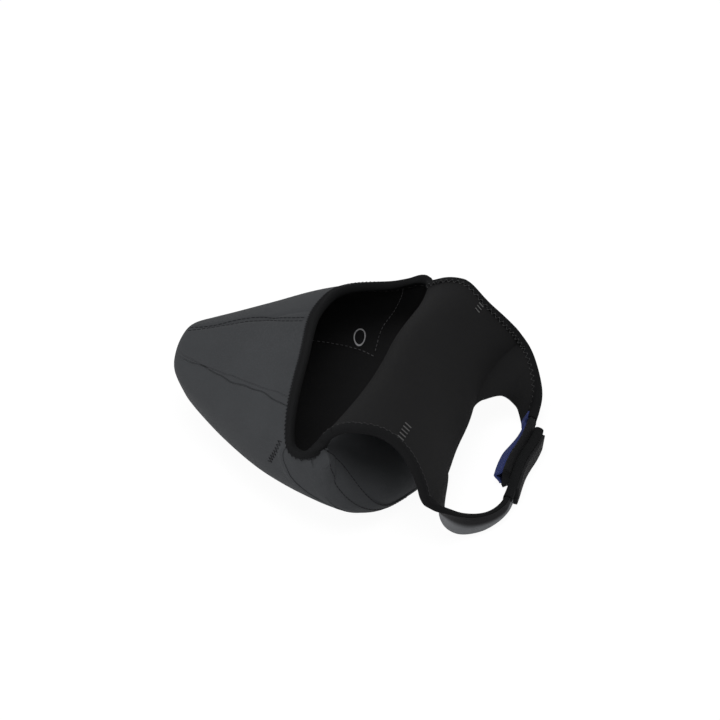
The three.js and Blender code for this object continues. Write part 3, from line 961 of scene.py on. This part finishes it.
def root_normal(arm, side, hole_share, grey_side, reach):
    """The normal of an arm, turned to the flap's own at the hem."""
    def normal(along, width):
        across = side * mix(hole_share, 1, width)
        hem = grey_side * normals(flap, across, HEM_RISE - NORMAL_STEP + 0 * along)
        return unit(mix(hem, normals(arm, along, width), smoothstep(along, 0, reach)[..., None]))

    return normal


def far_hole_edge(along):
    """The far corner of the hole is a quarter of an ellipse that leaves the hem smoothly."""
    bend = np.clip(1 - along / FAR_CORNER_LENGTH, 0, 1)
    return -FAR_CORNER_WIDTH * (1 - np.sqrt(1 - bend ** 2))


def near_hole_edge(along):
    """The hole reaches a little into the near arm beside the hem."""
    return 0.1 * bump(along, 0.12, 0.08)


def arm_crown(along, width):
    """The near arm's outside is crowned between its root and the loop patch."""
    reach = smoothstep(along, 0.15, 0.4) * (1 - smoothstep(along, 0.58, 0.67))
    return ARM_SWELL * reach * np.sin(math.pi * np.clip(width, 0, 1))


def bend_at_root(obj):
    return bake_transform(obj)


far_normal = root_normal(far_arm, 1, FAR_HOLE_SHARE, -1, reach=0.12)
near_normal = root_normal(near_arm, -1, NEAR_HOLE_SHARE, 1, reach=0.2)
# The near arm's grey carries painted light: a painted floor reflection below and painted shade towards the
# top
ARMS = (("far", far_arm, -1, far_normal, far_hole_edge, "flap", None, GREY),
        ("near", near_arm, 1, near_normal, near_hole_edge, bend_at_root, arm_crown, ARM_GREY_WITH_PAINTED_LIGHT))
for arm_name, arm, grey_side, arm_normal, hole_edge, body, crown, grey in ARMS:
    widths = (hole_edge, constant(1))
    form = {"steps": (120, 24), "normal": arm_normal, "crowd": crowd_start}
    face = sheet_object(f"{arm_name}_arm_face", arm, (0, 1), widths, grey_side, SHEET, FACE_PLY,
                        relief=crown, **form)
    foam_ply(face, body, [f"{arm_name}_arm"], grey)
    inside = sheet_object(f"{arm_name}_arm_inside", arm, (0, 1), widths, -grey_side, 0, LINING_PLY, **form)
    lining_ply(inside, body, [f"{arm_name}_arm_lining"])

# Closure

RIB_COUNT = 7
RIB_HEIGHT = 0.25 * MM
HOOK_EDGES = (0.06, 0.94)
HOOK_BOW = 4.2 * MM


def webbing_ribs(along, width):
    return RIB_HEIGHT * np.sin(width * 2 * math.pi * RIB_COUNT)


def hook_bow(along, width):
    """The hook tape bows off the tab, most towards its free end."""
    from_middle = (width - sum(HOOK_EDGES) / 2) / (HOOK_EDGES[1] - HOOK_EDGES[0])
    crown = np.cos(math.pi * np.clip(from_middle, -0.5, 0.5)) ** 2
    return HOOK_BOW * crown * smoothstep(along, 0.05, 0.6)


def closure_piece(name, surface, along, width, side, lift, ply, **form):
    """A piece of tape between two shares along a surface and two across it, lifted off it."""
    return sheet_object(name, surface, along, between(*width), side, lift + ply, ply, **form)


hook_tab = closure_piece("closure_tab", tab, (0, 0.93), (0.1, 1), -1, 0, TAB_PLY, steps=(60, 56),
                         relief=webbing_ribs, rounding=0.4 * MM)
dress(hook_tab, WEBBING, "hook_tab", ["hook_tab"])
hook_tape = closure_piece("closure_hooks", tab, (0.06, 0.91), HOOK_EDGES, 1, TRIM_LIFT, TAPE_PLY,
                          steps=(60, 20), relief=hook_bow, rounding=0.3 * MM)
dress(hook_tape, HOOKS, "hook_tab", ["hook_tape"])
hook_stub = closure_piece("arm_hooks", far_arm, (0.82, 0.955), (0.2, 0.92), 1, TRIM_LIFT, TAPE_PLY,
                          steps=(30, 20), rounding=0.3 * MM)
dress(hook_stub, HOOKS, "flap", ["hook_stub"])
loop_patch = closure_piece("arm_loops", near_arm, (0.70, 0.985), (0.04, 0.96), 1, SHEET + TRIM_LIFT,
                           LOOP_PLY, steps=(60, 20), rounding=0.4 * MM)
dress(loop_patch, LOOPS, "near_arm", ["loop_patch"])

# Bindings

FLOOR_ANGLE = NOTCH_ANGLE - math.radians(2.2)
FRONT_ANGLE = NOTCH_ANGLE + math.radians(4)
TAPE_CHANGE = 1.5
ROOT_OVERLAP = 0.01
ROOT_THINNING = 0.15


def notch_floor(angle):
    """Two points on the floor of a notch, clear of its corners."""
    depths = NOTCH_DEPTH + np.array([2 * MM, NOTCH_WIDTH - 3 * MM])
    angles = angle + 0 * depths
    inward = normals(pouch, angles, station_at(depths))
    return pouch(angles, station_at(depths)) + inward * SHEET / 2, inward


near_floor = [part[::-1] for part in notch_floor(FLOOR_ANGLE)]
far_floor = notch_floor(math.pi - FLOOR_ANGLE)
front_angles = np.linspace(FRONT_ANGLE, math.pi - FRONT_ANGLE, 41)
neck_rises = np.linspace(1.12, TAPE_CHANGE, 5)
mouth_edge = joined(
    flap_edge(-1, neck_rises[::-1]), near_floor, pouch_edge(front_angles), far_floor,
    flap_edge(1, neck_rises),
)
mouth_binding = binding_object("mouth_tape", mouth_edge, 1, 260)
folded_tape(mouth_binding, "pouch", ["mouth_binding"])

flap_rises = np.linspace(TAPE_CHANGE, 2.9, 24)
far_edge = joined(flap_edge(1, flap_rises), arm_edge(far_arm, far_normal, -1, np.linspace(0.08, 0.955, 20)))
root_alongs = np.linspace(0.03, 0.66, 16)
near_edge = joined(flap_edge(-1, flap_rises), flap_edge(-1, np.array([2.97])),
                   arm_edge(near_arm, near_normal, 1, root_alongs))
ROOT_SHARE = (len(flap_rises) + 0.5) / (len(flap_rises) + len(root_alongs))
SIDE_TAPES = (("near", near_edge, -1, (0, ROOT_SHARE)), ("far", far_edge, 1, (0, 1)))
for side_name, edge, inner_side, shares in SIDE_TAPES:
    binding = binding_object(f"flap_tape_{side_name}", edge, inner_side, 220, shares)
    replaced = [f"neck_binding_{side_name}", f"flap_binding_{side_name}"]
    folded_tape(binding, bend_at_crest, replaced)

# Zigzag rows on both faces of the bindings; the face that shows comes first
OUTER_ROW = ("outside", -1, 1.3 * MM, DARK_THREAD)
INNER_ROW = ("inside", 1, 1.9 * MM, SOFT_THREAD)
ZIGZAGS = (("mouth_zigzag", mouth_edge, 1, "pouch", 1, (OUTER_ROW, INNER_ROW)),
           ("flap_zigzag_near", near_edge, -1, bend_at_crest, ROOT_SHARE, (INNER_ROW, OUTER_ROW)),
           ("flap_zigzag_far", far_edge, 1, bend_at_crest, 1, (INNER_ROW, OUTER_ROW)))
for edge_name, edge, inner_side, body, end, rows in ZIGZAGS:
    for face_name, face, pitch, thread in rows:
        row = zigzag_on_binding(f"{edge_name}_{face_name}", edge, inner_side, face, pitch, end)
        dress(row, thread, body)

# The near tape carries on along the root of its arm, and a tape closes the edge under the loop patch
root_tape = binding_object("near_root_tape", near_edge, -1, 140, (ROOT_SHARE - ROOT_OVERLAP, 1),
                           (ROOT_SHARE, ROOT_SHARE + ROOT_THINNING))
folded_tape(root_tape, bend_at_root)
end_edge = joined(arm_edge(near_arm, near_normal, 1, np.linspace(0.64, 1.0, 16)))
end_tape = binding_object("near_end_tape", end_edge, -1, 80)
folded_tape(end_tape, "near_arm")

# Rows of stitches on the pouch

ROW_SHIFT = 1.8 * MM


def top_seam_row(name, shift):
    """A row beside the seam on the crown of the nose, moved along the cloth by the shift."""
    depths = np.linspace(-0.95 * NOSE_LENGTH, rim_depth(np.array(top_seam(1.0))) - 6 * MM, 12)
    stations = station_at(depths)
    middle = top_seam(stations)
    angles = middle + shift / arc_rate(middle, stations)
    angles = middle + shift / arc_rate((middle + angles) / 2, stations)
    return row_on_surface(name, pouch, list(zip(angles, stations)), OUTSIDE, 0.12 * MM, dash=2.2 * MM,
                          gap=0.9 * MM, relief=gore_relief)


for row, shift in (("upper", ROW_SHIFT), ("lower", -ROW_SHIFT)):
    dress(top_seam_row(f"top_seam_{row}", shift), DARK_THREAD, "pouch")


def pouch_corners(*pairs):
    """Corners of a row, from pairs of degrees round the pouch and millimetres along it."""
    return [(math.radians(angle), station_at(depth * MM)) for angle, depth in pairs]


dart_corners = pouch_corners((20, -8.4), (9, -11.5), (0, -16.7))
dart = row_on_surface("dart_zigzag", pouch, dart_corners, OUTSIDE, 0.15 * MM, dash=0.9 * MM, gap=0.5 * MM,
                      swing=3.4 * MM, radius=0.195 * MM, relief=gore_relief)
dress(dart, DARK_THREAD, "pouch")

LINING_ROWS = (
    ("lining_base_row", ((207, -43.7), (213, -28.4), (218, -13.6), (223, -3))),
    ("lining_end_row", ((165, -2.2), (182, -3.2), (199, -5.3), (220, -4.3))),
)
for name, pairs in LINING_ROWS:
    row = row_on_surface(name, pouch, pouch_corners(*pairs), INSIDE, SHEET + TRIM_LIFT, dash=1.6 * MM,
                         gap=1.2 * MM, relief=lining_relief)
    dress(row, GREY_THREAD, "pouch")

# Double rows along the lap of the back seam
for side_name, side in (("near", -1), ("far", 1)):
    for row, share in (("first", 0.48), ("second", 0.94)):
        corners = [(side * across, share) for across in np.linspace(WALL_END, 0.25, 12)]
        piece = row_on_surface(f"lap_row_{side_name}_{row}", back_lap, corners, 1, TRIM_LIFT, dash=1.8 * MM,
                               gap=0.8 * MM, radius=0.225 * MM)
        dress(piece, DARK_THREAD, "pouch")

# Plain oval ring printed on the lining
MARK_ANGLE = math.radians(207)
MARK_DEPTH = -16.7 * MM
MARK_TURN = math.radians(8)
MARK_REACH = 3.5 * MM
MARK_LEAN = 1.6 * MM
MARK_HOLE = 0.82
MARK_LIFT = 0.05 * MM
MARK_PLY = 0.15 * MM


def mark_surface(turn, size):
    angle = MARK_ANGLE + MARK_TURN * size * np.sin(turn)
    along = station_at(MARK_DEPTH + size * (MARK_REACH * np.cos(turn) + MARK_LEAN * np.sin(turn)))
    raised = SHEET + TRIM_LIFT + lining_relief(angle, along)
    return pouch(angle, along) + pouch_normal(angle, along) * raised[..., None]


mark = sheet_object("oval_mark", mark_surface, (0, 2 * math.pi), between(MARK_HOLE, 1), 1, MARK_LIFT,
                    MARK_PLY, (64, 2))
dress(mark, PRINT, "pouch")

# Bar tacks on the flap: short pale strokes side by side
TACK_RISE = 2.43
TACK_HALF = 0.038
TACK_LIFT = 0.5 * MM
TACK_RADIUS = 0.375 * MM
for name, start, end, strokes in (("near_tack", -0.94, -0.75, 5), ("far_tack", 0.86, 0.93, 3)):
    across = np.linspace(start, end, strokes)
    ends = []
    for shift in (-TACK_HALF, TACK_HALF):
        rises = TACK_RISE + shift + 0 * across
        ends.append(settle(flap(across, rises) - TACK_LIFT * normals(flap, across, rises)))
    ups = -normals(flap, across, TACK_RISE + 0 * across)
    tack = thread_object(name, ends[0], ends[1], ups, TACK_RADIUS)
    dress(tack, PALE_THREAD, "flap")

# Stage, light and camera

FLOOR_SIDE = 6
FLOOR_DROP = 0.5 * MM
FLOOR_COLOUR = (0.85, 0.85, 0.85, 1)
FLOOR_GLOW = 0.3
FLOOR_SHADOW = 0.12
SHOWN_WHITE = 1.07
SKY_LIGHT = 0.4


def seen_straight(tree):
    """1 for rays from the camera, also by way of a glossy or clear surface."""
    path = add_node(tree, "LightPath")
    seen = (path, "Is Camera Ray")
    for kind in ("Is Glossy Ray", "Is Transmission Ray"):
        total = add_node(tree, "Math", operation="ADD")
        total.use_clamp = True
        wire(tree, (*seen, total, 0), (path, kind, total, 1))
        seen = (total, 0)
    return seen


def rising(tree, start, end):
    """A value that is start for other rays and end for rays that are seen straight."""
    value = add_node(tree, "Math", {1: end - start, 2: start}, "MULTIPLY_ADD")
    wire(tree, (*seen_straight(tree), value, 0))
    return value


def shown_white(name):
    """White to the camera, with a share of light and shadow kept; it glows a little on the object."""
    material = bpy.data.materials.new(name)
    material.use_nodes = True
    tree = material.node_tree
    tree.nodes.clear()
    output = add_node(tree, "OutputMaterial")
    lit = add_node(tree, "BsdfDiffuse", {"Color": FLOOR_COLOUR})
    glow = add_node(tree, "Emission", {"Strength": SHOWN_WHITE})
    both = add_node(tree, "MixShader")
    wire(tree,
         (rising(tree, FLOOR_GLOW, 1 - FLOOR_SHADOW), 0, both, "Fac"),
         (lit, 0, both, 1), (glow, 0, both, 2), (both, 0, output, "Surface"))
    return material


bpy.ops.mesh.primitive_plane_add(size=FLOOR_SIDE, location=(0, 0, -FLOOR_DROP))
floor = bpy.context.object
floor.name = "floor"
floor.data.materials.append(shown_white("white floor"))

scene = bpy.context.scene
scene.view_settings.view_transform = "Standard"
world = bpy.data.worlds.new("studio")
scene.world = world
world.use_nodes = True
sky = world.node_tree.nodes["Background"]
set_inputs(sky, {"Color": (1, 1, 1, 1)})
wire(world.node_tree, (rising(world.node_tree, SKY_LIGHT, 1), 0, sky, "Strength"))


def softbox(name, place, aim, size, power):
    light = bpy.data.lights.new(name, "AREA")
    light.size = size
    light.energy = power
    obj = bpy.data.objects.new(name, light)
    obj.location = place
    obj.rotation_euler = (Vector(aim) - Vector(place)).to_track_quat("-Z", "Y").to_euler()
    scene.collection.objects.link(obj)


LIGHT_AIM = (0, 0, 0.03)
softbox("top softbox", (0.05, -0.3, 1.2), LIGHT_AIM, 0.8, 7.5)
softbox("side softbox", (-0.8, -0.85, 0.3), LIGHT_AIM, 0.7, 3.8)

# The camera looks from the near side and from above, with the nose to its left, without perspective
AZIMUTH = math.radians(20.5)
ELEVATION = math.radians(39)
PIXELS_PER_METRE = 1570
IMAGE_SIDE = 720
AIM_RIGHT = 11.8 * MM
AIM_UP = 50 * MM
CAMERA_DISTANCE = 1.2
right = Vector((math.cos(AZIMUTH), math.sin(AZIMUTH), 0))
level_back = Vector((math.sin(AZIMUTH), -math.cos(AZIMUTH), 0))
back = level_back * math.cos(ELEVATION) + Vector((0, 0, math.sin(ELEVATION)))
up = back.cross(right)
aim = right * AIM_RIGHT + up * AIM_UP
lens = bpy.data.cameras.new("camera")
lens.type = "ORTHO"
lens.ortho_scale = IMAGE_SIDE / PIXELS_PER_METRE
camera = bpy.data.objects.new("camera", lens)
camera.location = aim + back * CAMERA_DISTANCE
camera.rotation_euler = back.to_track_quat("Z", "Y").to_euler()
scene.collection.objects.link(camera)
scene.camera = camera
